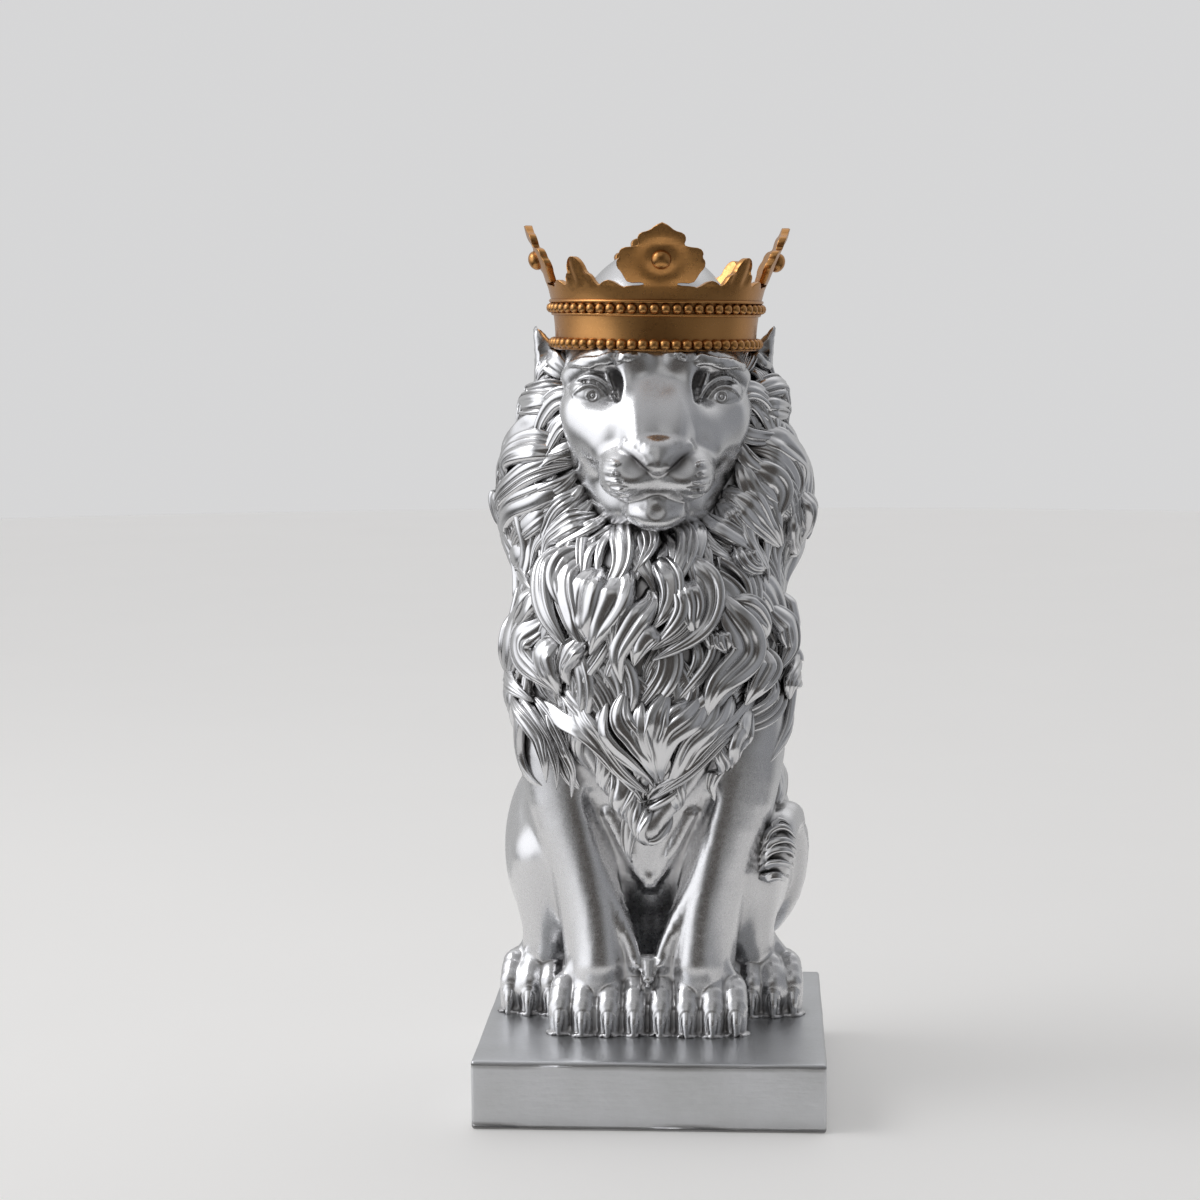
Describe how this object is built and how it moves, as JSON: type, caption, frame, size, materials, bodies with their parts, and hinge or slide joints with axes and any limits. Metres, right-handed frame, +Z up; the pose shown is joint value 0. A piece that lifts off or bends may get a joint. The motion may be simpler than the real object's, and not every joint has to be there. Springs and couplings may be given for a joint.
{
  "type": "crowned lion statue",
  "caption": "Seated lion with a flowing mane and an open leaf-topped crown, on a low rectangular plinth, for standing on a shelf or table.",
  "frame": {"origin": "middle of the plinth's underside", "axes": "+Z up, the lion faces -Y, +X is the lion's left"},
  "size_m": [0.14, 0.149, 0.3565],
  "materials": {
    "silver": "polished metallic silver coat on cast resin",
    "satin_silver": "satin, lightly brushed metallic silver coat on cast resin",
    "gold": "satin antique gold coat on cast resin"
  },
  "bodies": {
    "root": {"lion": "silver", "plinth": "satin_silver", "crown": "gold"}
  },
  "joints": []
}
